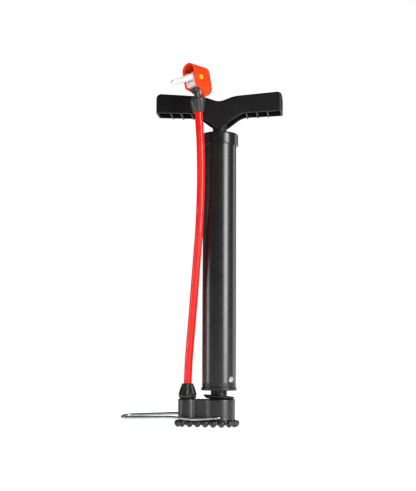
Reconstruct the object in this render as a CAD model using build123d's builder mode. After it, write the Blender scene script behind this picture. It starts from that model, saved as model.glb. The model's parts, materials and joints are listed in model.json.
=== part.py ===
from build123d import *

import os
from math import atan2, cos, degrees, pi, radians, sin, sqrt, tan

# A hand-operated tyre pump that stands on a small toothed base. The foot holds the base down by a
# wire stirrup, the hand works a T handle, and a short hose carries the air to a lever-locked head.
# Millimetres. The origin is on the floor under the barrel's axis: +Z up the barrel, +X along the
# handle, away from the hose, and -Y towards the side where the hose and the head are.

os.makedirs("parts", exist_ok=True)

# ---------------------------------------------------------------- driving dimensions
FIT = 0.05  # radial clearance of a shaft in its hole

BARREL_R = 19.0
BARREL_WALL = 1.2
BARREL_BOTTOM = 49.1
BARREL_TOP = 330.3
BORE_R = BARREL_R - BARREL_WALL

CAP_R = 21.2
CAP_BOTTOM = 319.3
CAP_TOP = 332.7
BUSH_HEIGHT = 11.0
BUSH_NECK_R = 8.0

ROD_R = 5.0
ROD_TOP = 358.0
ROD_THREAD_R = 3.0
ROD_SHOULDER = 87.0

PIN_Z = 351.0
ROLL_PIN_R = 1.5
NUT_LOW = 66.0
NUT_HEIGHT = 4.0
PISTON_LOW = NUT_LOW - 2.0
WASHER_HEIGHT = 1.5
CUP_WALL = 2.0
CUP_DEPTH = 7.5
CUP_TOP = NUT_LOW + NUT_HEIGHT + WASHER_HEIGHT + CUP_WALL
BUMPER_HEIGHT = 6.0

PLUG_BOTTOM = 40.6
PLUG_LIP_R = 19.9
PLUG_GROOVE_R = 18.7
PLUG_LIP_TOP = 44.2
PLUG_GROOVE_TOP = 45.6
SPIGOT_R = BORE_R - FIT
SPIGOT_TOP = 62.0
NECK_R = 9.0
NECK_CORE_R = 7.3
NECK_BOTTOM = 18.5
FLUTE_BOTTOM = 36.0
FLUTES = 12

RIVET_Z = 53.2
RIVET_TURN = 49.0  # degrees from -Y towards +X; the second rivet is opposite
RIVET_SHANK_R = 1.6
RIVET_HEAD_R = 3.3

BASE_TOP = 31.0
BASE_PLATE_Z = 3.0  # the underside, above the teeth
BOSS_R = 18.3
SMALL_BOSS_R = 10.7
HOSE_X = -35.4  # axis of the small boss, which carries the hose
SOCKET_FLOOR = 14.0
PAD_R = 4.5
SCREW_FACE = 8.6  # where the screw's head bears, up inside the base
CHANNEL_Z = 16.2
CHANNEL_R = 2.0
VALVE_BORE_R = 4.2
SEAT_BOTTOM = 18.6
SEAT_TOP = 20.0
AIR_PORT_X = -4.6
AIR_PORT_R = 1.3

FLANGE_TOP = 7.6
TOOTH_TIP_R = 1.3
TOOTH_PATH_BIG_R = 19.2
TOOTH_PATH_SMALL_R = 10.8
TEETH = 18
# (height, radius) up one tooth: a tapered foot, a round lobe and a bevelled top
TOOTH_PROFILE = [(0, TOOTH_TIP_R), (1.2, 2.5), (3.0, 4.0), (6.0, 4.0), (FLANGE_TOP, 2.7)]

STIRRUP_WIRE_R = 1.6
STIRRUP_PIVOT = (3.0, 0.0, 10.9)
STIRRUP_HOLE_END = 11.5  # distance of the bottom of each pivot hole from the barrel's axis

NUT_BOTTOM = 31.4
NUT_TOP = 48.2
NUT_BOTTOM_R = 10.2
NUT_TOP_R = 6.7
NUT_FLUTES = 9

HOSE_R = 4.5
HOSE_BORE_R = 2.5
HOSE_START = 38.2

HANDLE_HALF = 72.3
HANDLE_DEPTH = 29.0
HANDLE_WALL = 2.2
HANDLE_DIP_Z = 369.3
HANDLE_SHOULDER = (28.0, 375.7)  # where the straight grip begins
HANDLE_END_TOP = 379.3
HANDLE_END_BOTTOM = 356.4
HANDLE_KNEE = (25.3, 354.6)
HANDLE_TIP_Z = 335.8
HUB_R = 8.0
HUB_BOTTOM = 333.1
HANDLE_RIBS = (31.5, 43.5, 55.5)

# The head's own directions: U runs from its open mouth to its closed nose, V up, W to the pin's
# near end. It is turned about Z and rolled about U, as it hangs on its stem.
HEAD_PIN = Vector(-24.5, -35.5, 388.7)
HEAD_TURN = 56.0
HEAD_ROLL = 12.0
HEAD_HALF_WIDTH = 8.8
HEAD_WALL = 2.0
HEAD_FRONT = -10.2
HEAD_BACK = 19.3
HEAD_BOTTOM = -19.8
HEAD_ARCH_V = 8.7  # height of the arch's centre
HEAD_TAPER_V = -9.0  # below this the head narrows towards its bottom
HEAD_TAPER = 3.2
HEAD_HEEL_R = 12.0  # the round corner between the nose and the bottom

level = Vector(sin(radians(HEAD_TURN)), -cos(radians(HEAD_TURN)), 0)
up = Vector(0, 0, 1)
HEAD_U = Vector(cos(radians(HEAD_TURN)), sin(radians(HEAD_TURN)), 0)
HEAD_V = up * cos(radians(HEAD_ROLL)) - level * sin(radians(HEAD_ROLL))
HEAD_W = level * cos(radians(HEAD_ROLL)) + up * sin(radians(HEAD_ROLL))

CAM_R = 5.0
CAM_OFFSET = 1.75
CAM_ANGLE = 110.0
PIN_R = 1.9

# The hose's route, from the fitting in the base to the stem of the head.
HOSE_ROUTE = [
    (HOSE_X, 0.0, HOSE_START),
    (-34.8, -0.6, 66.0),
    (-32.0, -3.6, 98.0),
    (-28.2, -8.6, 138.0),
    (-24.6, -14.2, 180.0),
    (-20.6, -19.8, 224.0),
    (-18.6, -24.8, 266.0),
    (-18.3, -29.6, 302.0),
    (-19.2, -34.0, 333.7),
    (-21.3, -37.5, 360.6),
]


def head_point(u, v, w):
    """A point of the head, from its own directions."""
    return HEAD_PIN + HEAD_U * u + HEAD_V * v + HEAD_W * w


def head_side(w):
    """A plane across the pin: its sketches are drawn in (u, v)."""
    return Plane(origin=head_point(0, 0, w), x_dir=HEAD_U, z_dir=HEAD_W)


def head_section(u):
    """A plane across the head's length: its sketches are drawn in (v, w)."""
    return Plane(origin=head_point(u, 0, 0), x_dir=HEAD_V, z_dir=HEAD_U)


def polar(radius, angle):
    """A point in the plane, at an angle in degrees."""
    return (radius * cos(radians(angle)), radius * sin(radians(angle)))


def barrel_side(turn, height, radius):
    """A plane that faces outwards from the barrel; turn is counted from -Y towards +X."""
    x, y = polar(radius, turn - 90)
    return Plane(origin=(x, y, height), x_dir=(-y, x, 0), z_dir=(x, y, 0))


# ---------------------------------------------------------------- barrel
with BuildPart() as barrel_tube:
    with BuildSketch(Plane.XY.offset(BARREL_BOTTOM)):
        Circle(BARREL_R)
        Circle(BORE_R, mode=Mode.SUBTRACT)
    extrude(amount=BARREL_TOP - BARREL_BOTTOM)
    for turn in (RIVET_TURN, RIVET_TURN + 180):
        with BuildSketch(barrel_side(turn, RIVET_Z, BORE_R - 1)):
            Circle(RIVET_SHANK_R + FIT)
        extrude(amount=3, mode=Mode.SUBTRACT)
barrel_tube.part.label = "barrel_tube"
export_step(barrel_tube.part, "parts/barrel_tube.step")

with BuildPart() as top_cap:
    with BuildSketch(Plane.XZ) as cap_section:
        with BuildLine():
            Polyline(
                (BUSH_NECK_R + FIT, CAP_TOP - 0.6),
                (BUSH_NECK_R + 1.0, CAP_TOP),
                (CAP_R, CAP_TOP),
                (CAP_R, CAP_BOTTOM + 1.6),
                (CAP_R + 0.35, CAP_BOTTOM + 1.2),
                (CAP_R + 0.35, CAP_BOTTOM),
                (BARREL_R + FIT, CAP_BOTTOM),
                (BARREL_R + FIT, BARREL_TOP),
                (BUSH_NECK_R + FIT, BARREL_TOP),
                close=True,
            )
        make_face()
        fillet(cap_section.vertices().group_by(Axis.Y)[-1].sort_by(Axis.X)[-1], radius=2.4)
    revolve(axis=Axis.Z)
    with BuildSketch(Plane.XY.offset(CAP_TOP)):
        with Locations((0, 13.5)):
            Circle(1.2)
    extrude(amount=-4, mode=Mode.SUBTRACT)
top_cap.part.label = "top_cap"
export_step(top_cap.part, "parts/top_cap.step")

with BuildPart() as rod_guide_bush:
    with BuildSketch(Plane.XY.offset(BARREL_TOP - BUSH_HEIGHT)):
        Circle(BORE_R - FIT)
    extrude(amount=BUSH_HEIGHT)
    with BuildSketch(Plane.XY.offset(BARREL_TOP)):
        Circle(BUSH_NECK_R)
    extrude(amount=CAP_TOP - BARREL_TOP - 0.2)
    with BuildSketch(Plane.XY.offset(BARREL_TOP - BUSH_HEIGHT)):
        Circle(ROD_R + FIT)
    extrude(amount=BUSH_HEIGHT + CAP_TOP - BARREL_TOP, mode=Mode.SUBTRACT)
    with BuildSketch(Plane.XY.offset(BARREL_TOP - 6)):
        Circle(ROD_R + 2)
    extrude(amount=3.5, mode=Mode.SUBTRACT)
    with BuildSketch(Plane.XY.offset(BARREL_TOP - BUSH_HEIGHT)):
        with PolarLocations(13.5, 3, start_angle=90):
            Circle(1.6)
    extrude(amount=BUSH_HEIGHT, mode=Mode.SUBTRACT)
rod_guide_bush.part.label = "rod_guide_bush"
export_step(rod_guide_bush.part, "parts/rod_guide_bush.step")

with BuildPart() as rod_wiper:
    with BuildSketch(Plane.XY.offset(BARREL_TOP - 6 + FIT)):
        Circle(ROD_R + 2 - FIT)
        Circle(ROD_R + FIT, mode=Mode.SUBTRACT)
    extrude(amount=3.5 - 2 * FIT)
rod_wiper.part.label = "rod_wiper"
export_step(rod_wiper.part, "parts/rod_wiper.step")

# ---------------------------------------------------------------- bottom plug and rivets
PLUG_RING_Z = 58.5
PLUG_RING_WIRE_R = 1.0
NECK_RING_Z = 25.2
NECK_RING_WIRE_R = 0.9

with BuildPart() as bottom_plug:
    with BuildSketch(Plane.XZ) as plug_section:
        with BuildLine():
            Polyline(
                (0, NECK_BOTTOM),
                (NECK_R, NECK_BOTTOM),
                (NECK_R, NECK_RING_Z - 1.1),
                (NECK_CORE_R - 0.15, NECK_RING_Z - 1.1),
                (NECK_CORE_R - 0.15, NECK_RING_Z + 1.1),
                (NECK_R, NECK_RING_Z + 1.1),
                (NECK_R, FLUTE_BOTTOM),
                (NECK_CORE_R, FLUTE_BOTTOM),
                (NECK_CORE_R, PLUG_BOTTOM),
                (PLUG_LIP_R, PLUG_BOTTOM),
                (PLUG_LIP_R, PLUG_LIP_TOP),
                (PLUG_GROOVE_R, PLUG_LIP_TOP),
                (PLUG_GROOVE_R, PLUG_GROOVE_TOP),
                (BARREL_R, PLUG_GROOVE_TOP),
                (BARREL_R, BARREL_BOTTOM),
                (SPIGOT_R, BARREL_BOTTOM),
                (SPIGOT_R, PLUG_RING_Z - 1.2),
                (SPIGOT_R - 2.05, PLUG_RING_Z - 1.2),
                (SPIGOT_R - 2.05, PLUG_RING_Z + 1.2),
                (SPIGOT_R, PLUG_RING_Z + 1.2),
                (SPIGOT_R, SPIGOT_TOP),
                (0, SPIGOT_TOP),
                close=True,
            )
        make_face()
    revolve(axis=Axis.Z)
    lip_edges = bottom_plug.edges().filter_by(GeomType.CIRCLE).filter_by(
        lambda edge: abs(edge.radius - PLUG_LIP_R) < 0.01
    )
    fillet(lip_edges, radius=0.7)
    with BuildSketch(Plane.XY.offset(FLUTE_BOTTOM)):
        with PolarLocations((NECK_CORE_R + NECK_R) / 2 - 0.3, FLUTES):
            Rectangle(NECK_R - NECK_CORE_R + 0.6, 2.0)
    extrude(amount=PLUG_BOTTOM - FLUTE_BOTTOM)
    with BuildSketch(Plane.XY.offset(NECK_BOTTOM)):
        with Locations((AIR_PORT_X, 0)):
            Circle(AIR_PORT_R)
    extrude(amount=SPIGOT_TOP - NECK_BOTTOM, mode=Mode.SUBTRACT)
    with BuildSketch(Plane.XY.offset(NECK_BOTTOM)):
        Circle(2.0)
    extrude(amount=18, mode=Mode.SUBTRACT)
    for turn in (RIVET_TURN, RIVET_TURN + 180):
        with BuildSketch(barrel_side(turn, RIVET_Z, SPIGOT_R - 7)):
            Circle(RIVET_SHANK_R + FIT)
        extrude(amount=9, mode=Mode.SUBTRACT)
bottom_plug.part.label = "bottom_plug"
export_step(bottom_plug.part, "parts/bottom_plug.step")

with BuildPart() as plug_oring:
    with BuildSketch(Plane.XZ):
        with Locations((SPIGOT_R - PLUG_RING_WIRE_R, PLUG_RING_Z)):
            Circle(PLUG_RING_WIRE_R)
    revolve(axis=Axis.Z)
plug_oring.part.label = "plug_oring"
export_step(plug_oring.part, "parts/plug_oring.step")

with BuildPart() as neck_oring:
    with BuildSketch(Plane.XZ):
        with Locations((NECK_R - NECK_RING_WIRE_R, NECK_RING_Z)):
            Circle(NECK_RING_WIRE_R)
    revolve(axis=Axis.Z)
neck_oring.part.label = "neck_oring"
export_step(neck_oring.part, "parts/neck_oring.step")

RIVET_HEAD_START = BARREL_R + 0.02
with BuildPart() as barrel_rivets:
    for turn in (RIVET_TURN, RIVET_TURN + 180):
        with BuildSketch(barrel_side(turn, RIVET_Z, SPIGOT_R - 6.5)):
            Circle(RIVET_SHANK_R)
        extrude(amount=RIVET_HEAD_START + 1.0 - (SPIGOT_R - 6.5))
        with BuildSketch(barrel_side(turn, RIVET_Z, RIVET_HEAD_START + 0.3)):
            Circle(RIVET_HEAD_R)
        extrude(amount=1.0, taper=38)
        with BuildSketch(barrel_side(turn, RIVET_Z, RIVET_HEAD_START + 0.3)):
            Circle(RIVET_HEAD_R)
            Circle(0.8, mode=Mode.SUBTRACT)
        extrude(amount=0.2)
barrel_rivets.part.label = "barrel_rivets"
export_step(barrel_rivets.part, "parts/barrel_rivets.step")

# ---------------------------------------------------------------- base
CENTRE_GAP = abs(HOSE_X)


def hull_tangent(big, small):
    """The angle from +X of the radius to where one line touches both circles, in degrees."""
    return degrees(pi - atan2(sqrt(CENTRE_GAP**2 - (big - small) ** 2), big - small))


def boss_outline(big, small):
    """The outline round both bosses, as a closed line for make_face."""
    lean = hull_tangent(big, small)
    big_front = Vector(*polar(big, -lean))
    big_back = Vector(*polar(big, lean))
    small_front = Vector(*polar(small, -lean)) + Vector(HOSE_X, 0)
    small_back = Vector(*polar(small, lean)) + Vector(HOSE_X, 0)
    Line(small_front, big_front)
    ThreePointArc(big_front, (big, 0), big_back)
    Line(big_back, small_back)
    ThreePointArc(small_back, (HOSE_X - small, 0), small_front)


def tooth_places():
    """The teeth's centres, evenly spaced round the path that circles both bosses."""
    lean = hull_tangent(TOOTH_PATH_BIG_R, TOOTH_PATH_SMALL_R)
    straight = sqrt(CENTRE_GAP**2 - (TOOTH_PATH_BIG_R - TOOTH_PATH_SMALL_R) ** 2)
    big_arc = radians(2 * lean) * TOOTH_PATH_BIG_R
    small_arc = radians(360 - 2 * lean) * TOOTH_PATH_SMALL_R
    whole = big_arc + small_arc + 2 * straight
    big_front = Vector(*polar(TOOTH_PATH_BIG_R, -lean))
    big_back = Vector(*polar(TOOTH_PATH_BIG_R, lean))
    small_front = Vector(*polar(TOOTH_PATH_SMALL_R, -lean)) + Vector(HOSE_X, 0)
    small_back = Vector(*polar(TOOTH_PATH_SMALL_R, lean)) + Vector(HOSE_X, 0)
    for number in range(TEETH):
        along = whole * number / TEETH
        if along < big_arc:
            angle = -lean + degrees(along / TOOTH_PATH_BIG_R)
            place = Vector(*polar(TOOTH_PATH_BIG_R, angle))
        elif along < big_arc + straight:
            share = (along - big_arc) / straight
            place = big_back + (small_back - big_back) * share
        elif along < big_arc + straight + small_arc:
            angle = lean + degrees((along - big_arc - straight) / TOOTH_PATH_SMALL_R)
            place = Vector(*polar(TOOTH_PATH_SMALL_R, angle)) + Vector(HOSE_X, 0)
        else:
            share = (along - big_arc - straight - small_arc) / straight
            place = small_front + (big_front - small_front) * share
        yield (place.X, place.Y)


TEETH_AT = list(tooth_places())
WEB_OUTLINE = [(-30.0, -4.9), (-10.9, -13.8), (-10.9, 13.8), (-30.0, 4.9)]

with BuildPart() as base_body:
    # the two bosses, and the web between them
    with BuildSketch(Plane.XY.offset(BASE_PLATE_Z)):
        Circle(BOSS_R)
        with Locations((HOSE_X, 0)):
            Circle(SMALL_BOSS_R)
        with BuildLine():
            Polyline(*WEB_OUTLINE, close=True)
        make_face()
    extrude(amount=BASE_TOP - BASE_PLATE_Z)
    fillet(base_body.faces().sort_by(Axis.Z)[-1].edges(), radius=0.8)
    # the flange, with a tooth at each place round it
    with BuildSketch(Plane.XY.offset(BASE_PLATE_Z)):
        with BuildLine():
            boss_outline(TOOTH_PATH_BIG_R + 1.0, TOOTH_PATH_SMALL_R + 1.0)
        make_face()
    extrude(amount=FLANGE_TOP - BASE_PLATE_Z)
    for place in TEETH_AT:
        for height, radius in TOOTH_PROFILE:
            with BuildSketch(Plane.XY.offset(height)):
                with Locations(place):
                    Circle(radius)
        loft(ruled=True)
    # the socket for the plug's neck, with a pad on which the neck is screwed down
    with BuildSketch(Plane.XY.offset(SOCKET_FLOOR)):
        Circle(NECK_R + FIT)
        Circle(PAD_R, mode=Mode.SUBTRACT)
    extrude(amount=NECK_BOTTOM - SOCKET_FLOOR, mode=Mode.SUBTRACT)
    with BuildSketch(Plane.XY.offset(NECK_BOTTOM)):
        Circle(NECK_R + FIT)
    extrude(amount=BASE_TOP - NECK_BOTTOM, mode=Mode.SUBTRACT)
    with BuildSketch(Plane.XY.offset(BASE_PLATE_Z)):
        Circle(4.4)
    extrude(amount=SCREW_FACE - BASE_PLATE_Z, mode=Mode.SUBTRACT)
    with BuildSketch(Plane.XY.offset(BASE_PLATE_Z)):
        Circle(2.1)
    extrude(amount=NECK_BOTTOM - BASE_PLATE_Z, mode=Mode.SUBTRACT)
    # the valve chamber in the small boss
    with BuildSketch(Plane.XY.offset(SEAT_BOTTOM)):
        with Locations((HOSE_X, 0)):
            Circle(VALVE_BORE_R)
    extrude(amount=BASE_TOP - SEAT_BOTTOM, mode=Mode.SUBTRACT)
    with BuildSketch(Plane.XY.offset(SOCKET_FLOOR)):
        with Locations((HOSE_X, 0)):
            Circle(1.9)
    extrude(amount=SEAT_BOTTOM - SOCKET_FLOOR, mode=Mode.SUBTRACT)
    # the air channel, drilled from the hose end
    with BuildSketch(Plane.YZ.offset(HOSE_X - SMALL_BOSS_R - 1)):
        with Locations((0, CHANNEL_Z)):
            Circle(CHANNEL_R)
    extrude(amount=CENTRE_GAP + SMALL_BOSS_R + 1 - 6, mode=Mode.SUBTRACT)
    # the stirrup's two pivot holes
    for side in (-1, 1):
        with BuildSketch(Plane.XZ.offset(-side * STIRRUP_HOLE_END)):
            with Locations((STIRRUP_PIVOT[0], STIRRUP_PIVOT[2])):
                Circle(STIRRUP_WIRE_R + FIT)
        extrude(amount=-side * 9, mode=Mode.SUBTRACT)
    # pockets under the web, either side of the channel
    for side in (-1, 1):
        with BuildSketch(Plane.XY.offset(BASE_PLATE_Z)):
            with Locations((-20.0, side * 4.7)):
                Rectangle(6, 2.6)
        extrude(amount=9, mode=Mode.SUBTRACT)
base_body.part.label = "base_body"
export_step(base_body.part, "parts/base_body.step")

with BuildPart() as channel_plug:
    with BuildSketch(Plane.YZ.offset(HOSE_X - SMALL_BOSS_R + 0.3)):
        with Locations((0, CHANNEL_Z)):
            Circle(CHANNEL_R - 0.01)
    extrude(amount=4)
channel_plug.part.label = "channel_plug"
export_step(channel_plug.part, "parts/channel_plug.step")

with BuildPart() as base_screw:
    with BuildSketch(Plane.XY.offset(5.4)):
        Circle(3.8)
    extrude(amount=3.2 - FIT)
    fillet(base_screw.edges().sort_by(Axis.Z)[0], radius=1.2)
    with BuildSketch(Plane.XY.offset(5.4)):
        Rectangle(4.4, 0.9)
        Rectangle(0.9, 4.4)
    extrude(amount=1.8, mode=Mode.SUBTRACT)
    with BuildSketch(Plane.XY.offset(8.5)):
        Circle(1.98)
    extrude(amount=26)
base_screw.part.label = "base_screw"
export_step(base_screw.part, "parts/base_screw.step")

DISH_TILT = 4.5
dish_plane = Plane(
    origin=(0, 0, BASE_TOP + 1.3),
    x_dir=(cos(radians(DISH_TILT)), 0, -sin(radians(DISH_TILT))),
    z_dir=(sin(radians(DISH_TILT)), 0, cos(radians(DISH_TILT))),
)
with BuildPart() as dish_washer:
    with BuildSketch(Plane(dish_plane.origin, x_dir=dish_plane.x_dir, z_dir=-dish_plane.y_dir)):
        with BuildLine():
            Polyline(
                (NECK_R + 0.4, 0),
                (15.6, 0),
                (17.5, 1.3),
                (17.5, 2.5),
                (12.0, 2.2),
                (NECK_R + 0.4, 2.9),
                close=True,
            )
        make_face()
    revolve(axis=Axis(dish_plane.origin, dish_plane.z_dir))
dish_washer.part.label = "dish_washer"
export_step(dish_washer.part, "parts/dish_washer.step")

# ---------------------------------------------------------------- foot stirrup
STIRRUP_ROUTE = [
    (STIRRUP_PIVOT[0], -12.2, STIRRUP_PIVOT[2]),
    (STIRRUP_PIVOT[0], -20.9, STIRRUP_PIVOT[2]),
    (-26.0, -20.4, 9.2),
    (-52.0, -17.0, 11.3),
    (-108.8, -13.0, 10.2),
    (-108.8, 13.0, 11.9),
    (-50.0, 17.0, 14.2),
    (-24.0, 20.2, 12.4),
    (STIRRUP_PIVOT[0], 20.9, STIRRUP_PIVOT[2]),
    (STIRRUP_PIVOT[0], 12.2, STIRRUP_PIVOT[2]),
]
STIRRUP_BENDS = [3.0, 30, 30, 9, 9, 30, 30, 3.0]

with BuildPart() as foot_stirrup:
    with BuildLine() as stirrup_path:
        FilletPolyline(*STIRRUP_ROUTE, radius=STIRRUP_BENDS)
    with BuildSketch(Plane(origin=stirrup_path.line @ 0, z_dir=stirrup_path.line % 0)):
        Circle(STIRRUP_WIRE_R)
    sweep()
foot_stirrup.part.label = "foot_stirrup"
export_step(foot_stirrup.part, "parts/foot_stirrup.step")

# ---------------------------------------------------------------- outlet valve, fitting and nut
BALL_R = 2.4
BALL_Z = SEAT_TOP + sqrt(BALL_R**2 - 1.9**2) + 0.03
FITTING_BORE_R = 2.9
FITTING_STEP_Z = 27.4
SPRING_BOTTOM = BALL_Z + BALL_R + 0.02

with BuildPart() as valve_seat:
    with BuildSketch(Plane.XY.offset(SEAT_BOTTOM)):
        with Locations((HOSE_X, 0)):
            Circle(VALVE_BORE_R - FIT)
            Circle(1.9, mode=Mode.SUBTRACT)
    extrude(amount=SEAT_TOP - SEAT_BOTTOM)
valve_seat.part.label = "valve_seat"
export_step(valve_seat.part, "parts/valve_seat.step")

with BuildPart() as check_ball:
    with BuildSketch(Plane.XZ):
        with Locations((HOSE_X, BALL_Z)):
            Circle(BALL_R)
            with Locations((-BALL_R, 0)):
                Rectangle(2 * BALL_R, 4 * BALL_R, mode=Mode.SUBTRACT)
    revolve(axis=Axis((HOSE_X, 0, 0), (0, 0, 1)))
check_ball.part.label = "check_ball"
export_step(check_ball.part, "parts/check_ball.step")

SPRING_WIRE_R = 0.25
SPRING_R = 1.7
with BuildPart() as check_spring:
    spring_height = FITTING_STEP_Z - SPRING_BOTTOM - 2 * SPRING_WIRE_R - 0.04
    with BuildLine() as spring_path:
        Helix(
            pitch=spring_height / 4,
            height=spring_height,
            radius=SPRING_R,
            center=(HOSE_X, 0, SPRING_BOTTOM + SPRING_WIRE_R),
        )
    with BuildSketch(Plane(origin=spring_path.line @ 0, z_dir=spring_path.line % 0)):
        Circle(SPRING_WIRE_R)
    sweep(is_frenet=True)
check_spring.part.label = "check_spring"
export_step(check_spring.part, "parts/check_spring.step")

with BuildPart() as outlet_fitting:
    with BuildSketch(Plane.XZ):
        with BuildLine():
            Polyline(
                (HOSE_X + FITTING_BORE_R, SEAT_TOP),
                (HOSE_X + VALVE_BORE_R - 0.02, SEAT_TOP),
                (HOSE_X + VALVE_BORE_R - 0.02, BASE_TOP + 0.02),
                (HOSE_X + 6.4, BASE_TOP + 0.02),
                (HOSE_X + 6.4, HOSE_START - 0.2),
                (HOSE_X + HOSE_BORE_R - FIT, HOSE_START - 0.2),
                (HOSE_X + HOSE_BORE_R - FIT, 46.0),
                (HOSE_X + 1.9, 47.0),
                (HOSE_X + 1.4, 47.0),
                (HOSE_X + 1.4, FITTING_STEP_Z),
                (HOSE_X + FITTING_BORE_R, FITTING_STEP_Z),
                close=True,
            )
        make_face()
    revolve(axis=Axis((HOSE_X, 0, 0), (0, 0, 1)))
outlet_fitting.part.label = "outlet_fitting"
export_step(outlet_fitting.part, "parts/outlet_fitting.step")

with BuildPart() as hose_nut:
    with BuildSketch(Plane.XZ):
        with BuildLine():
            Polyline(
                (HOSE_X + 6.4 + FIT, NUT_BOTTOM),
                (HOSE_X + NUT_BOTTOM_R - 1.2, NUT_BOTTOM),
                (HOSE_X + NUT_BOTTOM_R - 1.0, NUT_BOTTOM + 1.6),
                (HOSE_X + NUT_BOTTOM_R, NUT_BOTTOM + 2.2),
                (HOSE_X + NUT_BOTTOM_R - 0.3, NUT_BOTTOM + 6.0),
                (HOSE_X + NUT_TOP_R + 0.5, NUT_TOP - 1.2),
                (HOSE_X + NUT_TOP_R - 0.3, NUT_TOP),
                (HOSE_X + HOSE_R + FIT, NUT_TOP),
                (HOSE_X + HOSE_R + FIT, HOSE_START + 2),
                (HOSE_X + 6.4 + FIT, HOSE_START),
                close=True,
            )
        make_face()
    revolve(axis=Axis((HOSE_X, 0, 0), (0, 0, 1)))
    # grip flutes, deeper towards the wide end
    for number in range(NUT_FLUTES):
        x, y = polar(1, 360 * number / NUT_FLUTES + 12)
        low = Vector(HOSE_X + 11.0 * x, 11.0 * y, NUT_BOTTOM)
        high = Vector(HOSE_X + 8.2 * x, 8.2 * y, NUT_TOP)
        with BuildSketch(Plane(origin=low, z_dir=high - low)):
            Circle(1.5)
        extrude(amount=(high - low).length + 2, mode=Mode.SUBTRACT)
hose_nut.part.label = "hose_nut"
export_step(hose_nut.part, "parts/hose_nut.step")

# ---------------------------------------------------------------- hose
def bend_radii(points):
    """Each bend as large as its two runs allow."""
    radii = []
    for before, here, after in zip(points, points[1:], points[2:]):
        come = Vector(*here) - Vector(*before)
        leave = Vector(*after) - Vector(*here)
        turn = radians(come.get_angle(leave))
        radii.append(0.45 * min(come.length, leave.length) / tan(turn / 2))
    return radii


hose_bends = bend_radii(HOSE_ROUTE)
print("hose bend radii", [round(radius) for radius in hose_bends])

with BuildPart() as air_hose:
    with BuildLine() as hose_path:
        FilletPolyline(*HOSE_ROUTE, radius=hose_bends)
    with BuildSketch(Plane(origin=hose_path.line @ 0, z_dir=hose_path.line % 0)):
        Circle(HOSE_R)
        Circle(HOSE_BORE_R, mode=Mode.SUBTRACT)
    sweep()
hose_section = pi * (HOSE_R**2 - HOSE_BORE_R**2)
hose_length = hose_path.wires()[0].length
print("hose length", round(hose_length, 1))
print("hose volume", round(air_hose.part.volume))
print("hose section x length", round(hose_section * hose_length))
air_hose.part.label = "air_hose"
export_step(air_hose.part, "parts/air_hose.step")

# ---------------------------------------------------------------- sleeve and stem of the head
HOSE_END = Vector(*HOSE_ROUTE[-1])
STEM_WAY = (HOSE_END - Vector(*HOSE_ROUTE[-2])).normalized()
SLEEVE_BELOW = 10.0  # how far the sleeve reaches below the hose's end
SLEEVE_ABOVE = 6.5
SLEEVE_LOW_R = 6.7
SLEEVE_HIGH_R = 8.2
SLEEVE_GROOVES = 8


def stem_plane(along):
    """A plane across the stem, at a distance from the hose's end."""
    return Plane(origin=HOSE_END + STEM_WAY * along, x_dir=HEAD_W.cross(STEM_WAY), z_dir=STEM_WAY)


stem_across = stem_plane(0).x_dir
stem_side = Plane(origin=HOSE_END, x_dir=stem_across, z_dir=stem_across.cross(STEM_WAY))

with BuildPart() as hose_sleeve:
    with BuildSketch(stem_side):
        with BuildLine():
            Polyline(
                (HOSE_R + FIT, -SLEEVE_BELOW),
                (SLEEVE_LOW_R - 0.3, -SLEEVE_BELOW),
                (SLEEVE_LOW_R, -SLEEVE_BELOW + 1.5),
                (SLEEVE_LOW_R + 0.8, -SLEEVE_BELOW + 5),
                (SLEEVE_HIGH_R - 0.5, 1.5),
                (SLEEVE_HIGH_R, SLEEVE_ABOVE - 2.5),
                (SLEEVE_HIGH_R - 0.4, SLEEVE_ABOVE),
                (3.5, SLEEVE_ABOVE),
                (3.5, 2.4),
                (HOSE_R + FIT, 2.4),
                close=True,
            )
        make_face()
    revolve(axis=Axis(HOSE_END, STEM_WAY))
    for number in range(SLEEVE_GROOVES):
        angle = 360 * number / SLEEVE_GROOVES
        low = stem_plane(-SLEEVE_BELOW + 2).from_local_coords(polar(SLEEVE_LOW_R + 1.6, angle))
        high = stem_plane(SLEEVE_ABOVE).from_local_coords(polar(SLEEVE_HIGH_R + 0.7, angle + 14))
        with BuildSketch(Plane(origin=low, z_dir=high - low)):
            Circle(1.35)
        extrude(amount=(high - low).length + 3, mode=Mode.SUBTRACT)
hose_sleeve.part.label = "hose_sleeve"
export_step(hose_sleeve.part, "parts/hose_sleeve.step")

YOKE_CENTRE = head_point(-3.2, -12.6, 0)
STEM_FLANGE_TOP = 2.3
stem_top = (YOKE_CENTRE - HOSE_END).dot(STEM_WAY)
with BuildPart() as head_stem:
    with BuildSketch(stem_side):
        with BuildLine():
            Polyline(
                (1.4, -8.0),
                (HOSE_BORE_R - 0.6, -8.0),
                (HOSE_BORE_R - FIT, -7.0),
                (HOSE_BORE_R - FIT, 0.02),
                (HOSE_R, 0.02),
                (HOSE_R, STEM_FLANGE_TOP),
                (3.4, STEM_FLANGE_TOP),
                (3.4, SLEEVE_ABOVE + 1),
                (3.1, stem_top),
                (1.4, stem_top),
                close=True,
            )
        make_face()
    revolve(axis=Axis(HOSE_END, STEM_WAY))
    # the yoke that holds the stem in the head
    with BuildSketch(Plane(origin=YOKE_CENTRE - HEAD_V * 3.6, x_dir=HEAD_U, z_dir=HEAD_V)):
        RectangleRounded(6.4, 7.2, 1.6)
    with BuildSketch(Plane(origin=YOKE_CENTRE + HEAD_V * 0.8, x_dir=HEAD_U, z_dir=HEAD_V)):
        RectangleRounded(7.6, 10.4, 1.6)
    loft()
head_stem.part.label = "head_stem"
export_step(head_stem.part, "parts/head_stem.step")

# ---------------------------------------------------------------- head
SCHRADER_V = -7.6
PRESTA_V = 4.4
SCHRADER_R = 3.85
PRESTA_R = 2.95
NOSE_INSIDE = HEAD_BACK - HEAD_WALL
PLATE_BACK = 8.5
PLATE_FRONT = 7.0
SEAL_START = 10.0
BODY_BACK_START = 2.6


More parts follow.
